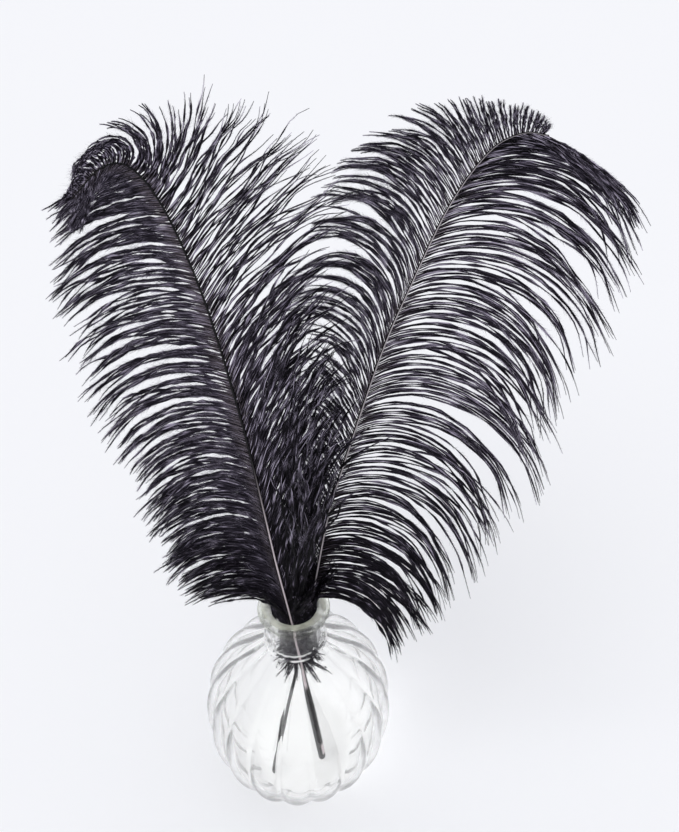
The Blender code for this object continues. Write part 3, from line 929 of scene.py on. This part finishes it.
# ---- The down in the neck -----------------------------------------------------------
# Below the vanes each quill carries loose down: short limp barbs all round it, pushed into
# the vase's neck, where they fill the bore and end ragged just under it.

DOWN_BARBS = 400
DOWN_STEPS = 12
DOWN_LENGTH = (13.0, 24.0)
# None grows from the quill's bare front.
DOWN_AROUND = (125, 415)
DOWN_ROOT = 0.9
# The lowest down hangs, in these shares by the distance from its lower end. The rest stands
# up, at these widest angles by the distance along the quill.
HANGING_SHARE = ((0, 0.95), (10, 0.9), (20, 0.0))
HANGING_ANGLE = (115, 168)
HANGING_BEND = (0, 15)
HANGING_LENGTH = 0.6
WIDEST_ANGLE = ((86, 84.0), (100, 46.0))
LEAST_ANGLE_SHARE = 0.3
UPRIGHT_BEND = (-25, 15)
# Over the lip, from this height, the down goes straight up and then opens out, as given by
# pairs of height and radius.
LIP_HEIGHT = 103
OVER_LIP = ((103, 9.3), (110, 9.5), (130, 20.0))
DOWN_CLEARANCE = 0.5
# Painted light and shade: against the glass the down is painted lilac grey, for the glass's
# reflection over it, and above the lip it is painted as black as the vanes, as shade.
DOWN_PAINTED_SHADE = ((98, 1.0), (107, 0.1))


def build_down(name, shaft, node, marks, seed, looks):
    """The down on one quill, between two distances along it."""
    spread = np.random.default_rng(seed)
    roots = np.sort(spread.uniform(*marks, DOWN_BARBS))
    along, front, across = shaft.frame(roots)
    hanging = spread.random(DOWN_BARBS) < read_off(HANGING_SHARE, roots - marks[0])
    around = spread.uniform(*np.radians(DOWN_AROUND), DOWN_BARBS)[:, None]
    outward = across * np.cos(around) + front * np.sin(around)
    widest = read_off(WIDEST_ANGLE, roots)
    hanging_angle = spread.uniform(*HANGING_ANGLE, DOWN_BARBS)
    angle = np.where(hanging, hanging_angle, spread.uniform(widest * LEAST_ANGLE_SHARE, widest))
    hanging_bend = spread.uniform(*HANGING_BEND, DOWN_BARBS)
    bend = np.where(hanging, hanging_bend, spread.uniform(*UPRIGHT_BEND, DOWN_BARBS))
    length = spread.uniform(*DOWN_LENGTH, DOWN_BARBS) * np.where(hanging, HANGING_LENGTH, 1.0)
    share = np.linspace(0, 1, DOWN_STEPS + 1)[None, :-1]
    turn = np.radians(angle[:, None] + bend[:, None] * share)
    heading = along[:, None] * np.cos(turn)[..., None] + outward[:, None] * np.sin(turn)[..., None]
    lines = grown(heading, length) + shaft.at(roots)[:, None] + outward[:, None] * DOWN_ROOT
    # The bore holds the down in: barbs that reach the glass lie along it.
    height = lines[..., 2]
    inner = profile[inside]
    bore = np.interp(height, inner[::-1, 0], inner[::-1, 1])
    room = np.where(height > LIP_HEIGHT, read_off(OVER_LIP, height), bore) - DOWN_CLEARANCE
    reach = np.linalg.norm(lines[..., :2], axis=-1)
    squeeze = np.where(reach > room, room / np.maximum(reach, 1e-6), 1.0)
    lines[..., :2] = lines[..., :2] * squeeze[..., None]
    facing = np.broadcast_to(FRONT, lines.shape)
    painted_lightness = read_off(DOWN_PAINTED_SHADE, height)
    barb_piece(name, lines, length, facing, painted_lightness, np.ones(DOWN_BARBS), node, looks, spread)


DOWNY = {**PLAIN, "fringe_spacing": 0.11, "fringe": ((0, 1.0), (0.7, 1.0), (1, 0.5))}
build_down("left_down", left, "left_plume", (74, 102), 21, DOWNY)
build_down("right_down", right, "right_plume", (78, 106), 23, DOWNY)

# ---- Floor, light and camera --------------------------------------------------------
# A plain sheet of white paper, one wide soft lamp overhead from the left and a pale room
# all round, seen from a little above.

# In metres: the sheet reaches this far, and lies this much under the vase.
FLOOR_REACH = 8.0
FLOOR_GAP = 0.0002
bpy.ops.mesh.primitive_plane_add(size=2 * FLOOR_REACH, location=(0, 0, -FLOOR_GAP))
floor = bpy.context.object
floor.name = "paper_floor"
paper, shader = new_material("matt_white_paper")
shader.inputs["Base Color"].default_value = linear("#f4f5f7")
shader.inputs["Roughness"].default_value = 0.9
shader.inputs["Specular IOR Level"].default_value = 0.1
floor.data.materials.append(paper)

ROOM_COLOUR = "#fbfbff"
ROOM_STRENGTH = 0.72
room = bpy.data.worlds.new("pale_room")
room.use_nodes = True
room.node_tree.nodes["Background"].inputs["Color"].default_value = linear(ROOM_COLOUR)
room.node_tree.nodes["Background"].inputs["Strength"].default_value = ROOM_STRENGTH
bpy.context.scene.world = room

LAMP_STRENGTH = 1.25
LAMP_WIDTH = 50
LAMP_TILT = (25, -25, 0)
lamp = bpy.data.lights.new("soft_lamp", "SUN")
lamp.energy = LAMP_STRENGTH
lamp.angle = math.radians(LAMP_WIDTH)
lamp_object = bpy.data.objects.new("soft_lamp", lamp)
lamp_object.rotation_euler = [math.radians(turn) for turn in LAMP_TILT]
bpy.context.scene.collection.objects.link(lamp_object)

# The camera stands above and in front and looks down by this many degrees. Its focal length
# is given in pixels of a picture this high.
CAMERA_PLACE = (0.01836, -0.19956, 0.35634)
CAMERA_DOWN = 38.0
FOCAL_PIXELS = 780.0
FRAME_HEIGHT = 832.0
SENSOR = 36.0
camera = bpy.data.cameras.new("camera")
camera.sensor_width = SENSOR
camera.lens = SENSOR * FOCAL_PIXELS / FRAME_HEIGHT
camera.clip_start = 0.01
camera_object = bpy.data.objects.new("camera", camera)
camera_object.location = CAMERA_PLACE
camera_object.rotation_euler = (math.radians(90 - CAMERA_DOWN), 0, 0)
bpy.context.scene.collection.objects.link(camera_object)
bpy.context.scene.camera = camera_object
bpy.context.scene.view_settings.view_transform = "Standard"
# Light crosses several walls of glass here, with reflections between them.
GLASS_BOUNCES = 24
bpy.context.scene.cycles.max_bounces = GLASS_BOUNCES
bpy.context.scene.cycles.transmission_bounces = GLASS_BOUNCES
